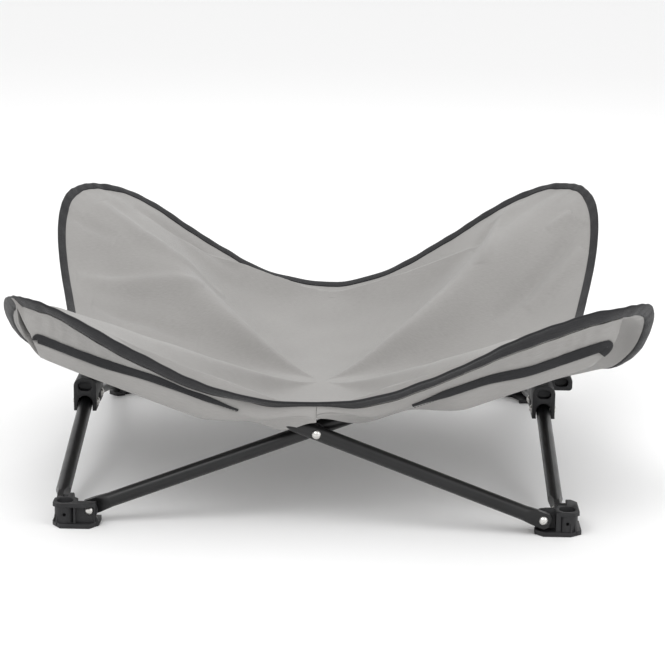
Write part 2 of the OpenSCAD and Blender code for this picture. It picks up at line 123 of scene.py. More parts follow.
# woven cloth on the piece's own flat pattern, in metres: plain weave, slubs and a faint mottle
def wovenCloth(name, dark, light, threadPitch, bumpDepth):
    mat, tree, shader = newMaterial(name, Sheen_Weight=0.22, Sheen_Roughness=0.5, Specular_IOR_Level=0.25)
    coords = addNode(tree, "ShaderNodeTexCoord")
    flat = coords.outputs["UV"]
    split = addNode(tree, "ShaderNodeSeparateXYZ", {"Vector": flat})
    threads = []
    for axis in ("X", "Y"):
        turn = addNode(tree, "ShaderNodeMath", {0: split.outputs[axis], 1: math.pi / threadPitch},
                       operation="MULTIPLY")
        wave = addNode(tree, "ShaderNodeMath", {0: turn.outputs[0]}, operation="SINE")
        threads.append(addNode(tree, "ShaderNodeMath", {0: wave.outputs[0]}, operation="ABSOLUTE").outputs[0])
    over = addNode(tree, "ShaderNodeTexChecker", {"Vector": flat, "Scale": 1 / threadPitch})
    weave = addNode(tree, "ShaderNodeMix", {
        "Factor": over.outputs["Fac"], "A": threads[0], "B": threads[1]}).outputs["Result"]
    mottle = noiseOf(tree, coords.outputs["Object"], 9, 4)
    slubs = noiseOf(tree, addNode(tree, "ShaderNodeMapping", {
        "Vector": flat, "Scale": (1, 9, 1)}).outputs["Vector"], 160, 2)
    shade = addNode(tree, "ShaderNodeMath", {0: mottle, 1: slubs}, operation="ADD")
    half = addNode(tree, "ShaderNodeMath", {0: shade.outputs[0], 1: 0.5}, operation="MULTIPLY")
    tree.links.new(rampColour(tree, half.outputs[0], 0.32, 0.68, dark, light), shader.inputs["Base Color"])
    tree.links.new(rangeOf(tree, mottle, 0.78, 0.92), shader.inputs["Roughness"])
    crumple = bumpOf(tree, noiseOf(tree, coords.outputs["Object"], 70, 5), 0.25, 0.0012)
    tree.links.new(bumpOf(tree, weave, 0.35, bumpDepth, crumple), shader.inputs["Normal"])
    return mat


def coatedSteel():
    mat, tree, shader = newMaterial("blackPowderCoat", Specular_IOR_Level=0.35,
                                    Coat_Weight=0.1, Coat_Roughness=0.2)
    where = addNode(tree, "ShaderNodeTexCoord").outputs["Object"]
    cloud = noiseOf(tree, where, 45, 4)
    tree.links.new(rampColour(tree, cloud, 0.3, 0.75, (0.004, 0.004, 0.0043), (0.0075, 0.0075, 0.008)),
                   shader.inputs["Base Color"])
    tree.links.new(rangeOf(tree, cloud, 0.3, 0.42), shader.inputs["Roughness"])
    tree.links.new(bumpOf(tree, noiseOf(tree, where, 1100, 2), 0.12, 0.0003), shader.inputs["Normal"])
    return mat


def mouldedPlastic():
    mat, tree, shader = newMaterial("mouldedNylon", Specular_IOR_Level=0.35)
    where = addNode(tree, "ShaderNodeTexCoord").outputs["Object"]
    cloud = noiseOf(tree, where, 60, 5)
    grain = noiseOf(tree, where, 2600, 2)
    tree.links.new(rampColour(tree, cloud, 0.3, 0.72, (0.011, 0.011, 0.012), (0.02, 0.02, 0.0215)),
                   shader.inputs["Base Color"])
    tree.links.new(rangeOf(tree, cloud, 0.42, 0.56), shader.inputs["Roughness"])
    tree.links.new(bumpOf(tree, grain, 0.18, 0.0002), shader.inputs["Normal"])
    return mat


def platedSteel():
    mat, tree, shader = newMaterial("zincPlate", Metallic=1.0)
    where = addNode(tree, "ShaderNodeTexCoord").outputs["Object"]
    cloud = noiseOf(tree, where, 220, 4)
    tree.links.new(rampColour(tree, cloud, 0.3, 0.72, (0.55, 0.54, 0.52), (0.72, 0.71, 0.69)),
                   shader.inputs["Base Color"])
    tree.links.new(rangeOf(tree, cloud, 0.2, 0.34), shader.inputs["Roughness"])
    tree.links.new(bumpOf(tree, noiseOf(tree, where, 1800, 2), 0.1, 0.0002), shader.inputs["Normal"])
    return mat


greyCloth = wovenCloth("greySlingCloth", (0.262, 0.255, 0.247), (0.32, 0.312, 0.303), 0.0008, 0.0003)
darkTape = wovenCloth("charcoalTape", (0.009, 0.009, 0.010), (0.019, 0.019, 0.021), 0.0006, 0.0004)
darkThread = wovenCloth("tapeThread", (0.016, 0.016, 0.0175), (0.03, 0.03, 0.032), 0.0003, 0.0002)
print("materials ready")


# rigid pieces keep their solids: smooth where they are round, with a small radius on the edges
rigidFinish = {
    "coated_tube": {"material": coatedSteel(), "radius": 0.0},
    "moulded_plastic": {"material": mouldedPlastic(), "radius": 0.0005},
    "rivet_steel": {"material": platedSteel(), "radius": 0.0},
}
for entry in frame["record"]["subparts"]:
    finish = rigidFinish.get(entry["material_slot"])
    if finish is None:
        continue
    obj = nodes[entry["node"]]
    obj.data.materials.clear()
    obj.data.materials.append(finish["material"])
    obj.data.polygons.foreach_set("use_smooth", np.ones(len(obj.data.polygons), bool))
    weld = obj.modifiers.new("weld", "WELD")
    weld.merge_threshold = 0.000002
    if finish["radius"]:
        edge = obj.modifiers.new("edge", "BEVEL")
        edge.width = finish["radius"]
        edge.segments = 2
        edge.limit_method = "ANGLE"
        edge.angle_limit = math.radians(40)
        edge.use_clamp_overlap = False
    crease = obj.modifiers.new("crease", "EDGE_SPLIT")
    crease.split_angle = math.radians(38)
print("rigid pieces dressed")


# cloth

sling = {
    "clothT": 0.0014,
    "middle": 0.0008,       # from the underside of the cloth to the middle of its thickness
    "centreZ": 0.088,       # heights of the underside at the middle and at the middles of the edges
    "sideZ": 0.140,
    "frontZ": 0.135,
    "rearZ": 0.141,
    "sideX": 0.298,         # plan of the edge, and how far it swings out at the corners
    "frontY": 0.285,
    "bulgeX": 0.072,
    "bulgeY": 0.066,
    "slack": 2.4,           # power of the climb along the middle lines and from the centre to a tip
    "taut": 0.95,
    "hollow": 0.14,
    "ridgeUp": 0.0112,      # from a tube's axis to the cloth over it
    "ridgeSlope": 0.9,
    "ridgeSoft": 0.006,
    "ridgeEnd": 0.292,      # the ridge falls away past the end of the tube, this steeply
    "ridgeFall": 2,
    "bridge": 0.02,
    "layerBlend": 0.06,
    "droopFrom": 1.08,      # angle round the edge where a droop starts
    "cells": 130,
}

# folds seen in the photo: a path in plan, how high it stands and how wide it is
folds = [
    {"path": [(-0.290, 0.262), (-0.235, 0.217), (-0.189, 0.194), (-0.129, 0.200)],
     "lift": 0.0082, "wide": 0.010},
    {"path": [(-0.305, 0.142), (-0.216, 0.151), (-0.150, 0.147)], "lift": 0.0076, "wide": 0.010},
    {"path": [(-0.250, 0.286), (-0.186, 0.286), (-0.110, 0.262)], "lift": -0.0060, "wide": 0.009},
    {"path": [(-0.283, 0.110), (-0.213, 0.108), (-0.150, 0.090)], "lift": -0.0050, "wide": 0.010},
    {"path": [(-0.328, 0.235), (-0.262, 0.205)], "lift": -0.0042, "wide": 0.008},
    {"path": [(0.318, 0.226), (0.286, 0.189), (0.240, 0.146), (0.205, 0.118)],
     "lift": -0.0085, "wide": 0.010},
    {"path": [(0.318, 0.185), (0.284, 0.155), (0.245, 0.125)], "lift": 0.0050, "wide": 0.009},
    {"path": [(0.306, 0.238), (0.275, 0.218)], "lift": 0.0040, "wide": 0.007},
    {"path": [(0.232, 0.305), (0.210, 0.256), (0.192, 0.175)], "lift": 0.0080, "wide": 0.010},
    {"path": [(0.185, 0.245), (0.212, 0.285)], "lift": -0.0055, "wide": 0.009},
    {"path": [(-0.235, -0.120), (-0.150, -0.060)], "lift": 0.0030, "wide": 0.012},
    {"path": [(0.250, -0.150), (0.150, -0.075)], "lift": 0.0030, "wide": 0.012},
]


# smooth step: three t squared less two t cubed, held between 0 and 1
def ease(t):
    t = np.clip(t, 0, 1)
    return t * t * (3 - 2 * t)


# a vector divided by its own length
def unit(v):
    return v / np.linalg.norm(v, axis=-1, keepdims=True)


# a corner's setting, for the quarter that x and y lie in
def cornerValue(name, x, y):
    return np.array([c[name] for c in corners.values()])[(x > 0) * 1 + (y > 0) * 2]


# edge of a quarter in plan at angle a, from 0 at the side to 90 degrees at the front or rear: roots of the
# cosine and the sine, times half sizes that swell by the sine of twice a, and a shift that grows to the tip
def edgeOf(a, tipX, tipY):
    swing = np.sin(2 * a)
    outX, outY = sling["sideX"] + sling["bulgeX"] * swing, sling["frontY"] + sling["bulgeY"] * swing
    return (outX * np.sqrt(np.clip(np.cos(a), 0, 1)) + tipX * swing ** 2,
            outY * np.sqrt(np.clip(np.sin(a), 0, 1)) + tipY * swing ** 2)


# a fold is a soft ridge along its path that dies away at both ends: a bell of the distance from the path,
# times the root of a half wave along it
def foldLift(x, y, crease):
    path = np.array(crease["path"])
    runs = np.linalg.norm(np.diff(path, axis=0), axis=1)
    near, place, start = np.full(np.shape(x), 9.0), np.zeros(np.shape(x)), 0
    for (px, py), (dx, dy), run in zip(path, np.diff(path, axis=0), runs):
        t = np.clip(((x - px) * dx + (y - py) * dy) / run ** 2, 0, 1)
        away = np.hypot(x - px - t * dx, y - py - t * dy)
        place = np.where(away < near, (start + t * run) / runs.sum(), place)
        near = np.minimum(near, away)
        start += run
    dying = np.sqrt(np.clip(np.sin(math.pi * place), 0, 1))
    return crease["lift"] * np.exp(-(near / crease["wide"]) ** 2) * dying


# small wrinkles: the folds, pulls that fan out from the tips, an edge that is turned up at the corners and
# stands up along the front, puckers at the tape and a slow ripple
wrinkle = {
    "pullUp": 0.0011, "pulls": 13, "pullRoot": 0.02, "pullNear": 0.05, "pullFar": 0.12,
    "reach": 0.4,                 # about as far as the edge is from the centre
    "curlDown": 0.009, "curlWide": 0.013, "curlSpread": 1.4, "curlRear": 0.25,
    "rimUp": 0.0075, "rimWide": 0.75, "rimStart": 0.95, "rimRun": 0.4,
    "puckerUp": 0.00025, "puckers": 90, "puckerWide": 0.045,
    "rippleUp": 0.00035,
}


def wrinkles(x, y, share, a, tipAway):
    w = wrinkle
    lift = sum(foldLift(x, y, f) for f in folds)
    pull = np.arctan2(tipAway[1] + w["pullRoot"], tipAway[0] + w["pullRoot"])
    far = np.hypot(*tipAway)
    fade = ease(far / w["pullNear"]) * np.exp(-(far / w["pullFar"]) ** 2)
    lift = lift + w["pullUp"] * np.cos(w["pulls"] * pull + 2 * np.sign(x) + np.sign(y)) * fade
    curl = ease(w["curlSpread"] * np.sin(2 * a) ** 2) * np.where(y < 0, 1, w["curlRear"])
    inside = np.clip((1 - share) * w["reach"] / w["curlWide"], 0, None)
    lift = lift - w["curlDown"] * curl * inside * np.exp(0.5 - inside ** 2 / 2)
    rim = np.where(y < 0, ease((a - w["rimStart"]) / w["rimRun"]), 0)
    lift = lift + w["rimUp"] * rim * np.exp(-(inside / w["rimWide"]) ** 2)
    pucker = np.sin(w["puckers"] * a + 1.7 * np.sin(9 * a))
    lift = lift + w["puckerUp"] * pucker * np.exp(-((1 - share) / w["puckerWide"]) ** 2)
    ripple = np.sin(71 * x + 38 * y) + np.sin(-52 * x + 83 * y + 1.3) + 0.6 * np.sin(140 * x - 61 * y + 0.4)
    return lift + w["rippleUp"] * ripple * ease(share * 2)


# height of the cloth: hung between its edge and a hollow at the centre, slack along the middle lines and
# taut to the tips, and lying as a soft ridge over the tube wherever the tube is higher
def slingHeight(x, y):
    x, y = np.asarray(x, float), np.asarray(y, float)
    ax, ay = np.abs(x), np.abs(y)
    tipX, tipY = cornerValue("tipX", x, y), cornerValue("tipY", x, y)
    tipZ, rise, sideRise = (cornerValue(n, x, y) for n in ("tipZ", "rise", "sideRise"))
    cornerX = (sling["sideX"] + sling["bulgeX"]) * 0.5 ** 0.25 + tipX
    cornerY = (sling["frontY"] + sling["bulgeY"]) * 0.5 ** 0.25 + tipY
    a = np.arctan2((ay / cornerY) ** 2, (ax / cornerX) ** 2)
    ex, ey = edgeOf(a, tipX, tipY)
    share = np.hypot(ax, ay) / np.hypot(ex, ey)
    hollow = sling["hollow"]
    climb = (np.sqrt(share ** 2 + hollow ** 2) - hollow) / (math.hypot(1, hollow) - hollow)
    power = sling["slack"] - (sling["slack"] - sling["taut"]) * np.sin(2 * a) ** 2
    endZ = np.where(y > 0, sling["rearZ"], sling["frontZ"])
    edgeZ = np.where(a < math.pi / 4,
                     sling["sideZ"] + (tipZ - sling["sideZ"]) * ease((ey / cornerY) ** sideRise),
                     endZ + (tipZ - endZ) * ease((ex / cornerX) ** rise))
    edgeZ = edgeZ - cornerValue("droop", x, y) * ease((sling["droopFrom"] - a) / 0.5) * ease(a / 0.35)
    hung = sling["centreZ"] + (edgeZ - sling["centreZ"]) * climb ** power
    ridgeY = footA - halfLayer * x / np.hypot(ax, sling["layerBlend"])
    ridgeUp = sling["ridgeUp"] * math.hypot(1, sling["ridgeSlope"])
    ridgeZ = pivotZ + ridgeUp + tubeSlope * np.hypot(ax, sling["bridge"])
    past = np.clip(ax - sling["ridgeEnd"], 0, None)
    over = ridgeZ - sling["ridgeSlope"] * np.abs(ay - ridgeY) - sling["ridgeFall"] * past
    height = (hung + over + np.hypot(hung - over, sling["ridgeSoft"])) / 2
    return height + sling["middle"] + wrinkles(x, y, share, a, (cornerX - ax, cornerY - ay))


# its normal: minus the slopes along x and y, and 1, from heights a small step to either side
def slingNormal(x, y, step=0.0006):
    dx = (slingHeight(x + step, y) - slingHeight(x - step, y)) / (2 * step)
    dy = (slingHeight(x, y + step) - slingHeight(x, y - step)) / (2 * step)
    return unit(np.stack([-dx, -dy, np.ones_like(dx)], -1))


# running length along a line of points
def lengthAlong(line):
    return np.concatenate([[0], np.cumsum(np.linalg.norm(np.diff(line, axis=0), axis=1))])


# edge of one quarter, s from 0 at the side to 1 at the front or rear: the angle is a mix of s and an
# s-shaped curve, which is slow at both ends, where the edge runs fast
def edgePlan(s, corner):
    a = math.pi / 2 * (0.35 * s + 0.65 * s * s / (s * s + (1 - s) ** 2))
    return np.stack(edgeOf(a, corner["tipX"], corner["tipY"]), -1)


# grid cells as quads, turned so that they face along the given normal
def gridQuads(points, normals):
    rows, cols = points.shape[:2]
    a = (np.arange(rows - 1)[:, None] * cols + np.arange(cols - 1)[None, :]).ravel()
    quads = np.stack([a, a + cols, a + cols + 1, a + 1], -1)
    flat = points.reshape(-1, 3)
    mid = quads[len(quads) // 2]
    facing = np.cross(flat[mid[1]] - flat[mid[0]], flat[mid[3]] - flat[mid[0]])
    return quads if facing @ normals.reshape(-1, 3)[mid[0]] > 0 else quads[:, ::-1]


# points and faces as a smooth mesh, with its flat pattern and its crisp edges
def putMesh(name, points, faces, uv=None, sharp=None, material=None):
    mesh = bpy.data.meshes.new(name)
    mesh.from_pydata(points, [], faces)
    mesh.polygons.foreach_set("use_smooth", np.ones(len(mesh.polygons), bool))
    if uv is not None:
        layer = mesh.uv_layers.new(name="flat")
        corner = np.zeros(len(mesh.loops), np.int32)
        mesh.loops.foreach_get("vertex_index", corner)
        layer.data.foreach_set("uv", np.ascontiguousarray(uv[corner], np.float32).ravel())
    if sharp is not None:  # pairs of points whose edge stays crisp
        ends = np.zeros(len(mesh.edges) * 2, np.int32)
        mesh.edges.foreach_get("vertices", ends)
        ends = np.sort(ends.reshape(-1, 2), 1).astype(np.int64)
        keys = np.sort(sharp, 1).astype(np.int64)
        crisp = np.isin(ends[:, 0] * len(points) + ends[:, 1], keys[:, 0] * len(points) + keys[:, 1])
        mesh.attributes.new("sharp_edge", "BOOLEAN", "EDGE").data.foreach_set("value", crisp)
    mesh.update()
    obj = bpy.data.objects.new(name, mesh)
    bpy.context.scene.collection.objects.link(obj)
    if material is not None:
        mesh.materials.append(material)
    return obj


# a thin shell: the grid moved half its thickness each way along the normal, with a rim round the edge
def shellPiece(name, mid, normals, thickness, flat, material):
    rows, cols = mid.shape[:2]
    count = rows * cols
    index = np.arange(count).reshape(rows, cols)
    ring = np.concatenate([index[0, :-1], index[:-1, -1], index[-1, :0:-1], index[:0:-1, 0]])
    quads = gridQuads(mid, normals)
    after = np.roll(ring, -1)
    first = np.isin(quads, ring[:2]).sum(1) == 2
    along = quads[first][0].tolist()
    forward = along[(along.index(ring[0]) + 1) % 4] == ring[1]
    rim = np.stack([ring, ring + count, after + count, after], -1)
    rim = rim if forward else rim[:, ::-1]
    points = np.concatenate([(mid + normals * thickness / 2).reshape(-1, 3),
                             (mid - normals * thickness / 2).reshape(-1, 3)])
    faces = np.concatenate([quads, quads[:, ::-1] + count, rim])
    sharp = np.concatenate([np.stack([ring, after], -1), np.stack([ring, after], -1) + count])
    obj = putMesh(name, points, faces.tolist(), np.tile(flat.reshape(-1, 2), (2, 1)), sharp, material)
    corner = np.zeros(len(obj.data.loops), np.int32)
    obj.data.loops.foreach_get("vertex_index", corner)
    turned = np.concatenate([normals.reshape(-1, 3), -normals.reshape(-1, 3)])[corner]
    turned[len(quads) * 8:] = 0  # the rim keeps its own normals
    obj.data.normals_split_custom_set(turned.tolist())
    return obj


# a profile carried along a path: rings of points, closed round and capped at both ends
def sweptPiece(name, rings, uv, material):
    count, sides = rings.shape[:2]
    a = np.arange(count - 1)[:, None] * sides + np.arange(sides)[None, :]
    b = np.arange(count - 1)[:, None] * sides + (np.arange(sides) + 1)[None, :] % sides
    quads = np.stack([a, b, b + sides, a + sides], -1).reshape(-1, 4)
    points = rings.reshape(-1, 3)
    centre = rings.mean(1)
    mid = quads[len(quads) // 2]
    facing = np.cross(points[mid[1]] - points[mid[0]], points[mid[3]] - points[mid[0]]) \
        @ (points[mid].mean(0) - centre[count // 2])
    last = np.arange(sides) + (count - 1) * sides
    caps = [list(range(sides))[::-1], last.tolist()]
    if facing < 0:
        quads = quads[:, ::-1]
        caps = [c[::-1] for c in caps]
    loop = np.stack([np.arange(sides), (np.arange(sides) + 1) % sides], -1)
    sharp = np.concatenate([loop, loop + (count - 1) * sides])
    return putMesh(name, points, quads.tolist() + caps, uv.reshape(-1, 2), sharp, material)


# a quarter's plan flipped to its own corner
def mirrored(plan, corner):
    return plan * np.array([corner["side"], corner["end"]])


# as the frame folds, what lies inside a tube gathers towards the plane that holds the tube and leans with the
# cloth, and what lies outside it keeps its shape, so a quarter is cut where that plane meets the cloth
gather = {
    "lean": 0.129, "passes": 6, "rows": 34, "stations": 160,
    "outPower": 1.3, "endPower": 1.6,  # closer cells towards the edge and the tube
    "notch": 0.003, "tipShare": 0.99,  # the outer part stops just short of its point
}
gatherAcross = math.sqrt(1 - gather["lean"] ** 2)


# how far a corner's tube lies from the middle: right tubes are in the inner layer, left ones in the outer
def tubePlane(corner):
    return footA - halfLayer * corner["side"]


# y of the cut at x, found by a few passes because it depends on the height of the cloth there
def gatherLine(corner, x):
    y = np.full(np.shape(x), tubePlane(corner))
    for again in range(gather["passes"]):
        rise = slingHeight(corner["side"] * x, corner["end"] * y) - pivotZ
        y = tubePlane(corner) - rise * gather["lean"] / gatherAcross
    return y


# place along the edge where the cut meets it
def gatherEnd(corner):
    s = np.linspace(0.2, 0.6, 801)
    plan = edgePlan(s, corner)
    return float(np.interp(0, plan[:, 1] - gatherLine(corner, plan[:, 0]), s))


# cloth over a grid in plan: every point lifted to the sling's height and thickened along its normal
def clothPiece(name, plan, corner):
    plan = mirrored(np.maximum(plan, 1e-7), corner)
    x, y = plan[..., 0], plan[..., 1]
    mid = np.stack([x, y, slingHeight(x, y)], -1)
    return shellPiece(name, mid, slingNormal(x, y), sling["clothT"], plan, greyCloth)


# inner part of a quarter: u from one middle line out to the side edge, v from the other to the tube
def slingInner(key, corner):
    place = np.linspace(0, 1, sling["cells"] + 1)
    u, v = np.meshgrid(1 - (1 - place) ** gather["outPower"], place ** gather["endPower"], indexing="ij")
    stop = gatherEnd(corner)
    edge, last = edgePlan(stop * v, corner), edgePlan(np.array(stop), corner)
    plan = np.stack([u * edge[..., 0], edge[..., 1] / last[1] * gatherLine(corner, u * last[0])], -1)
    return clothPiece("sling_" + key + "_cloth", plan, corner)


# outer part: straight lines from the tube out to the edge, spread along both by length
def slingApron(key, corner):
    stop = gatherEnd(corner)
    edge = edgePlan(np.linspace(stop + gather["notch"], 1, gather["stations"]), corner)
    length = lengthAlong(edge)
    x = edgePlan(np.array(stop), corner)[0] * gather["tipShare"] * (1 - length / length[-1])
    base = np.stack([x, gatherLine(corner, x)], -1)
    w = np.linspace(0, 1, gather["rows"])[None, :, None]
    return clothPiece("sling_" + key + "_apron", base[:, None] * (1 - w) + edge[:, None] * w, corner)


# binding tape: a flat oval folded over the edge, carried along it in two parts that meet at the cut
tape = {"front": 0.0104, "rear": 0.0098, "thick": 0.0034, "past": 0.0008, "stations": 180, "sides": 20}
turn = np.linspace(0, 2 * math.pi, tape["sides"], endpoint=False)
ovalAcross = np.sign(np.cos(turn)) * np.abs(np.cos(turn)) ** 0.5
ovalUp = np.sign(np.sin(turn)) * np.abs(np.sin(turn)) ** 0.7


# points of the edge and the way inward, square to it in plan, and along the seams at both ends
def edgeFrame(key, s):
    corner = corners[key]
    plan = edgePlan(s, corner)
    along = unit(np.gradient(plan, axis=0))
    inward = np.stack([-along[:, 1], along[:, 0]], -1)
    inward[s <= 0] = (-1, 0)
    inward[s >= 1] = (0, -1)
    return mirrored(plan, corner), mirrored(inward, corner)


# flat pattern of a tape: length along it, and the turn round it spread over its width
def tapeUv(rings, width):
    length = lengthAlong(rings.mean(1))
    return np.stack(np.broadcast_arrays(length[:, None], turn[None, :] * width / math.pi), -1)


def tapeWidth(key):
    return tape["front"] if corners[key]["end"] < 0 else tape["rear"]


# each ring is the oval laid inward from the edge, half above the sling's surface and half below
def edgeTape(key, part, s0, s1):
    plan, inward = edgeFrame(key, np.linspace(s0, s1, tape["stations"]))
    reach = tapeWidth(key) / 2 * (1 + ovalAcross) - tape["past"]
    spot = plan[:, None, :] + inward[:, None, :] * reach[None, :, None]
    x, y = spot[..., 0], spot[..., 1]
    rings = np.stack([x, y, slingHeight(x, y)], -1)
    rings = rings + slingNormal(x, y) * (ovalUp * tape["thick"] / 2)[None, :, None]
    return sweptPiece("edge_binding_" + key + part + "_tape", rings, tapeUv(rings, tapeWidth(key)), darkTape)


# pockets: cloth that leaves the sling at its tape, falls to a bound lip, hangs in front of the tube, passes
# under it and comes up to the sling behind it. Towards the middle of the edge it runs on as a free band.
# u runs out along the tube, v round the section through seven lines
pocket = {
    "lines": 7, "thick": 0.0012, "pinch": 0.008, "under": 0.0024, "stations": 110, "rounds": 72,
    "hemIn": 0.009, "hemLeast": 0.0085, "grow": 0.08, "sway": 0.0011,
    "lookDown": (0.245, 0.9695),  # sine and cosine of the angle that the lip and the bottom are measured from
    "lipFrom": 0.165, "lipRun": 0.06, "lipShare": 0.86, "lipLeast": 0.0125,
    "bottomIn": 0.008, "bottomShare": 0.62, "belly": 0.004, "frontLeast": 0.0118,
    "back": 0.012, "seam": 0.0155, "below": 0.0125,
    "bandRun": 0.07, "bandY": 0.2865, "bandLip": 0.0165, "bandLow": 0.011,
    "pucker": 0.0011, "puckerAt": 0.45, "puckerWide": 0.3, "puckerFrom": 0.18,
    "clothLong": 0.2, "clothStep": 0.019,
}
# where the pocket proper starts, where each line of the section starts and ends, how far below the tube's
# axis the lip and the bottom look at the inner and outer ends, where the lip tape starts, its width at both
# ends, and how far it turns down the outer end
pocketShape = {
    -1: {"inner": 0.05, "starts": (0.0002, 0.0002, 0.0002, 0.0002, 0.05, 0.055, 0.055),
         "ends": (0.314, 0.294, 0.288, 0.284, 0.302, 0.308, 0.31),
         "lipIn": 0.007, "lipOut": 0.011, "lowIn": 0.0115, "lowOut": 0.031,
         "tapeFrom": 0.28, "tapeIn": 0.0064, "tapeOut": 0.0098, "hook": 0.02},
    1: {"inner": 0.08, "starts": (0.0002, 0.0002, 0.0002, 0.0002, 0.08, 0.085, 0.085),
        "ends": (0.31, 0.304, 0.292, 0.281, 0.3, 0.308, 0.31),
        "lipIn": 0.009, "lipOut": 0.015, "lowIn": 0.0115, "lowOut": 0.033,
        "tapeFrom": 0.33, "tapeIn": 0.0085, "tapeOut": 0.0115, "hook": 0.08},
}


# weights of a smooth curve through the given number of points, at places v along it
def curveWeights(v, count):
    i = np.clip(np.floor(v).astype(int), 0, count - 2)
    t = v - i
    parts = (-t ** 3 + 2 * t ** 2 - t, 3 * t ** 3 - 5 * t ** 2 + 2,
             -3 * t ** 3 + 4 * t ** 2 + t, t ** 3 - t ** 2)
    which = np.arange(count)
    return sum(part[..., None] / 2 * (np.clip(i + k - 1, 0, count - 1)[..., None] == which)
               for k, part in enumerate(parts))


# every line of the section has its distance in front of the tube and its height at u, and a smooth curve
# through the seven gives the point at v
def pocketPoint(key, u, v):
    corner, p = corners[key], pocket
    shape = pocketShape[corner["side"]]
    tubeY = tubePlane(corner)
    end = np.interp(v, np.arange(p["lines"]), shape["ends"])
    start = np.interp(v, np.arange(p["lines"]), shape["starts"])
    x = start + (end - start) * u
    middle = 1 - ease(x / p["bandRun"])  # 1 where the strip is a free band
    shut = ease((x - end + p["pinch"]) / p["pinch"])
    axisZ = pivotZ + tubeSlope * x
    edgeX, edgeY = edgeOf(np.linspace(math.pi / 2, math.pi / 4, 200), corner["tipX"], corner["tipY"])
    hem = np.maximum(np.interp(x, edgeX, edgeY) - tubeY - p["hemIn"], p["hemLeast"])
    grown = ease((x - shape["inner"]) / p["grow"])
    sway = p["sway"] * np.sin(43 * x * 2 + 1.1 * v + corner["side"]) * grown

    # height of a point that is that far in front of the tube's axis and looks that much lower
    def looksLower(low, out):
        return axisZ - (low - p["lookDown"][0] * out) / p["lookDown"][1]

    def underSling(out):
        return slingHeight(corner["side"] * x, corner["end"] * (tubeY + out)) - p["under"]

    lipLow = shape["lipIn"] + (shape["lipOut"] - shape["lipIn"]) * ease((x - p["lipFrom"]) / p["lipRun"])
    bottomLow = shape["lowIn"] + (shape["lowOut"] - shape["lowIn"]) * grown
    lipLow = lipLow - (p["bandLip"] + shape["lipIn"]) * middle
    bottomLow = bottomLow - (p["bandLow"] + shape["lowIn"]) * middle
    bandAway = p["bandY"] - tubeY
    lipAway = np.maximum(hem * p["lipShare"], p["lipLeast"]) + sway
    bottomAway = p["bottomIn"] + (hem * p["bottomShare"] - p["bottomIn"]) * grown - sway
    hem = hem + (bandAway - 0.004 - hem) * middle
    lipAway = lipAway + (bandAway - lipAway) * middle
    bottomAway = bottomAway + (bandAway - 0.0005 - bottomAway) * middle
    frontAway = np.maximum((lipAway + bottomAway) * 0.5 + p["belly"] * grown, p["frontLeast"])
    lipZ, bottomZ = looksLower(lipLow, lipAway), looksLower(bottomLow, bottomAway)
    backAway = -p["back"] + (lipAway * 0.7 + p["back"]) * shut
    seamAway = -p["seam"] + (lipAway * 0.7 + p["seam"]) * shut
    away = [hem, lipAway, frontAway, bottomAway, shut * lipAway * 0.6, backAway, seamAway]
    heights = [underSling(hem), lipZ, (lipZ + bottomZ) / 2, bottomZ, axisZ - p["below"] - 0.004 * shut,
               axisZ - 0.002, underSling(seamAway)]
    pucker = p["pucker"] * np.sin(370 * x + 1.2 * np.sin(95 * x)) \
        * np.exp(-((v - p["puckerAt"]) / p["puckerWide"]) ** 2) * ease((x - p["puckerFrom"]) / p["lipRun"])
    weights = curveWeights(v, p["lines"])
    out = sum(weights[..., k] * away[k] for k in range(p["lines"])) + pucker
    z = sum(weights[..., k] * heights[k] for k in range(p["lines"]))
    return np.stack([corner["side"] * x, corner["end"] * (tubeY + out), z], -1)


# cross product of small steps along u and v
def pocketNormal(key, u, v):
    uStep, vStep, last = 0.004, 0.02, pocket["lines"] - 1
    du = pocketPoint(key, np.clip(u + uStep, 0, 1), v) - pocketPoint(key, np.clip(u - uStep, 0, 1), v)
    dv = pocketPoint(key, u, np.clip(v + vStep, 0, last)) - pocketPoint(key, u, np.clip(v - vStep, 0, last))
    return unit(np.cross(du, dv) * corners[key]["side"] * corners[key]["end"])


def pocketCloth(key):
    u, v = np.meshgrid(np.linspace(0, 1, pocket["stations"]),
                       np.linspace(0, pocket["lines"] - 1, pocket["rounds"]), indexing="ij")
    flat = np.stack([u * pocket["clothLong"], v * pocket["clothStep"]], -1)
    return shellPiece("tube_pocket_" + key + "_cloth", pocketPoint(key, u, v), pocketNormal(key, u, v),
                      pocket["thick"], flat, greyCloth)


# lip tape: out along the lip, then round a soft corner and down the outer end, as a flat oval
lipBand = {
    "thick": 0.0026, "lift": 0.0017, "flat": 0.009, "stations": 150,
    "reach": 0.985, "bend": 0.02, "drop": 10, "widen": 0.5, "start": 0.12,
}


# u grows until the outer end and v from there on, and a hyperbola rounds the corner between them
def lipPath(start, stop):
    past = np.linspace(start - 1, stop, lipBand["stations"])
    bend = np.hypot(past, lipBand["bend"])
    return lipBand["reach"] + lipBand["reach"] * (past - bend) / 2, 1 + lipBand["drop"] * (past + bend) / 2


def lipWidth(shape, u):
    widen = ease((u - shape["tapeFrom"]) / lipBand["widen"])
    return shape["tapeIn"] + (shape["tapeOut"] - shape["tapeIn"]) * widen


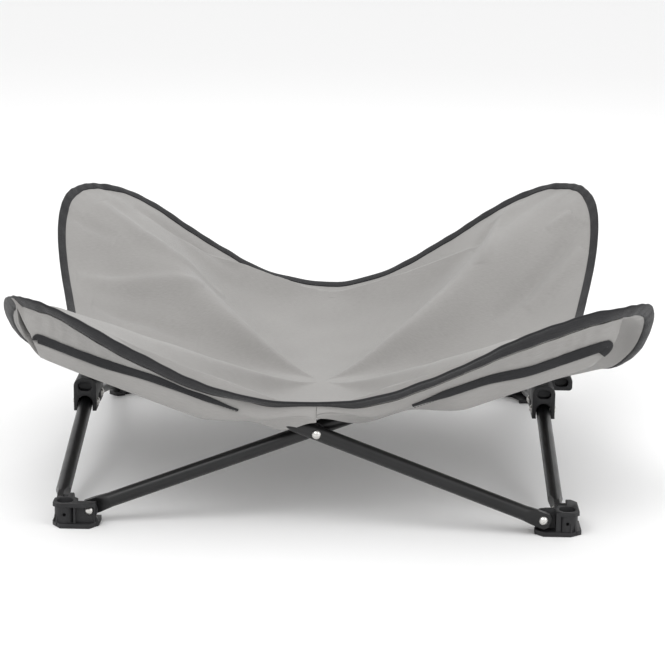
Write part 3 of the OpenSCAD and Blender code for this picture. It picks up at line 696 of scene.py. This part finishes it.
# each ring is the oval laid across that path, lifted off the pocket
def lipTape(key):
    shape = pocketShape[corners[key]["side"]]
    u, v = lipPath(shape["tapeFrom"], shape["hook"])
    spine, normal = pocketPoint(key, u, v), pocketNormal(key, u, v)
    along = unit(np.gradient(spine, axis=0))
    across = np.cross(normal, along)
    # narrower where it turns down, and drawn in at its start
    width = lipWidth(shape, u) * (1 - 0.45 * ease((v - 1.2) / 1.5)) \
        * (0.35 + 0.65 * ease((u - shape["tapeFrom"]) / lipBand["start"]))
    rings = spine[:, None] + across[:, None] * (ovalAcross * width[:, None] / 2)[..., None] \
        + normal[:, None] * (lipBand["lift"] + ovalUp * lipBand["thick"] / 2)[None, :, None]
    return sweptPiece("pocket_binding_" + key + "_tape", rings, tapeUv(rings, lipBand["flat"]), darkTape)


# rows of stitches: short threads of a few small rings that thin and dip into the cloth at both ends
stitch = {"pitch": 0.0034, "length": 0.0024, "radius": 0.0003, "margin": 0.0022, "sunk": 0.46}


def stitchRow(name, spots, along, up, material):
    place = np.array([-1, -0.65, 0, 0.65, 1])
    girth = np.array([0.3, 0.9, 1, 0.9, 0.3]) * stitch["radius"]
    sides, rings = 6, len(place)
    angle = np.linspace(0, 2 * math.pi, sides, endpoint=False)
    side = np.cross(up, along)
    spine = spots[:, None] + along[:, None] * (place * stitch["length"] / 2)[None, :, None] \
        + up[:, None] * (stitch["radius"] * (0.35 - 0.9 * place ** 2))[None, :, None]
    ring = side[:, None, None] * np.cos(angle)[None, None, :, None] \
        + up[:, None, None] * np.sin(angle)[None, None, :, None]
    points = (spine[:, :, None] + ring * girth[None, :, None, None]).reshape(-1, 3)
    k, n = np.arange(rings - 1)[:, None] * sides, np.arange(sides)[None, :]
    after = (n + 1) % sides
    quads = np.stack([k + n, k + after, k + sides + after, k + sides + n], -1).reshape(-1, 4)
    start = np.arange(len(spots))[:, None] * rings * sides
    faces = (quads[None] + start[:, :, None]).reshape(-1, 4).tolist()
    faces += (start + n[:, ::-1]).tolist() + (start + (rings - 1) * sides + n).tolist()
    uv = np.stack([np.tile(place.repeat(sides), len(spots)) * stitch["length"],
                   np.tile(angle, rings * len(spots)) * stitch["radius"]], -1)
    return putMesh(name, points, faces, uv, None, material)


# places at an even pitch along a line, counted in its points
def evenPlaces(line):
    length = lengthAlong(line)
    count = int(length[-1] / stitch["pitch"])
    return np.interp((np.arange(count) + 0.5) * length[-1] / count, length, np.arange(len(line)))


# values at those places, straight between neighbours
def rowAt(values, places):
    i = np.clip(places.astype(int), 0, len(values) - 2)
    t = (places - i)[:, None]
    return values[i] * (1 - t) + values[i + 1] * t


# on both faces of the tape, a margin in from its inner edge
def edgeStitches(key, part, s0, s1):
    plan, inward = edgeFrame(key, np.linspace(s0, s1, 500))
    spot = plan + inward * (tapeWidth(key) - stitch["margin"])
    line = np.stack([spot[:, 0], spot[:, 1], slingHeight(spot[:, 0], spot[:, 1])], -1)
    up, along = slingNormal(spot[:, 0], spot[:, 1]), unit(np.gradient(line, axis=0))
    at = evenPlaces(line)
    spots, ways, ups = rowAt(line, at), unit(rowAt(along, at)), unit(rowAt(up, at))
    lift = tape["thick"] * stitch["sunk"]
    return stitchRow("edge_binding_" + key + part + "_stitches",
                     np.concatenate([spots + ups * lift, spots - ups * lift]), np.concatenate([ways, ways]),
                     np.concatenate([ups, -ups]), darkThread)


# along the lower edge of the lip tape, up to its corner
def lipStitches(key):
    shape = pocketShape[corners[key]["side"]]
    u, v = lipPath(shape["tapeFrom"], -0.04)
    spine, normal = pocketPoint(key, u, v), pocketNormal(key, u, v)
    along = unit(np.gradient(spine, axis=0))
    across = np.cross(normal, along)
    down = -across * np.sign(across[:, 2:])  # towards the lower edge of the tape
    aside = lipWidth(shape, u) / 2 - stitch["margin"] * 0.8
    line = spine + down * aside[:, None] + normal * (lipBand["lift"] + lipBand["thick"] * stitch["sunk"])
    at = evenPlaces(line)
    return stitchRow("pocket_binding_" + key + "_stitches", rowAt(line, at), unit(rowAt(along, at)),
                     unit(rowAt(normal, at)), darkThread)


# each corner: inner part and apron with their tapes and stitches, pocket and lip tape, put on the tube's body in
# place of the pack's pieces; the left tubes lie nearer the edge than the right ones
for key, corner in corners.items():
    stop = gatherEnd(corner)
    cloth, apron = slingInner(key, corner), slingApron(key, corner)
    binding, apronBinding = edgeTape(key, "", 0, stop), edgeTape(key, "_apron", stop, 1)
    threads, apronThreads = edgeStitches(key, "", 0, stop), edgeStitches(key, "_apron", stop, 1)
    sleeve, lip, lipThreads = pocketCloth(key), lipTape(key), lipStitches(key)
    made = [(cloth, "sling_", "sling_cloth"), (apron, "sling_", "sling_cloth"),
            (binding, "edge_binding_", "binding_tape"), (apronBinding, "edge_binding_", "binding_tape"),
            (sleeve, "tube_pocket_", "sling_cloth"), (lip, "pocket_binding_", "binding_tape")]
    for piece, node, slot in made:
        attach(piece, corner["body"])
        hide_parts(node + key)
    for piece in (threads, apronThreads, lipThreads):
        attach(piece, corner["body"])
    # the inner part, its tape and its stitches each get a mesh of their own
    for piece in (cloth, binding, threads):
        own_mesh(piece)
print("sling made")


# floor, light and camera
studio = {"floor": (0.9, 0.9, 0.9), "world": 1.0, "key": 26, "fill": 9, "rim": 10}

floorSize = 30
floorMesh = bpy.data.meshes.new("floor")
floorMesh.from_pydata([(-floorSize, -floorSize, 0), (floorSize, -floorSize, 0),
                       (floorSize, floorSize, 0), (-floorSize, floorSize, 0)], [], [(0, 1, 2, 3)])
floor = bpy.data.objects.new("floor", floorMesh)
bpy.context.scene.collection.objects.link(floor)
floorMesh.materials.append(newMaterial("paleFloor", Roughness=0.9, Base_Color=(*studio["floor"], 1))[0])

world = bpy.data.worlds.new("studio")
bpy.context.scene.world = world
world.use_nodes = True
world.node_tree.nodes["Background"].inputs["Color"].default_value = (1, 1, 1, 1)
world.node_tree.nodes["Background"].inputs["Strength"].default_value = studio["world"]


# a lamp aimed at the middle of the cot
def softBox(name, spot, size, power):
    light = bpy.data.lights.new(name, "AREA")
    light.shape = "RECTANGLE"
    light.size, light.size_y = size
    light.energy = power
    lamp = bpy.data.objects.new(name, light)
    bpy.context.scene.collection.objects.link(lamp)
    lamp.location = spot
    lamp.rotation_mode = "QUATERNION"
    lamp.rotation_quaternion = (Vector((0, 0, 0.15)) - Vector(spot)).to_track_quat("-Z", "Y")


softBox("keyLight", (-0.9, -1.5, 2.3), (1.8, 1.4), studio["key"])
softBox("fillLight", (1.8, -1.2, 1.3), (1.4, 1.4), studio["fill"])
softBox("rimLight", (0.3, 1.9, 1.9), (2.0, 1.2), studio["rim"])

camera = {"lens": 117.07, "distance": 2.5105, "azimuth": 0.86, "elevation": 14.19, "roll": 0.79,
          "target": (0.01104, 0, 0.14732)}
cameraData = bpy.data.cameras.new("photoCamera")
cameraData.lens = camera["lens"]
cameraData.sensor_width = 36
cameraData.clip_start, cameraData.clip_end = 0.05, 100
viewer = bpy.data.objects.new("photoCamera", cameraData)
bpy.context.scene.collection.objects.link(viewer)
az, el = math.radians(camera["azimuth"]), math.radians(camera["elevation"])
back = Vector((math.sin(az) * math.cos(el), -math.cos(az) * math.cos(el), math.sin(el)))
viewer.rotation_mode = "QUATERNION"
viewer.location = Vector(camera["target"]) + back * camera["distance"]
viewer.rotation_quaternion = (-back).to_track_quat("-Z", "Y") \
    @ Matrix.Rotation(math.radians(camera["roll"]), 3, "Z").to_quaternion()
bpy.context.scene.camera = viewer
bpy.context.scene.view_settings.view_transform = "Standard"
print("stage ready")
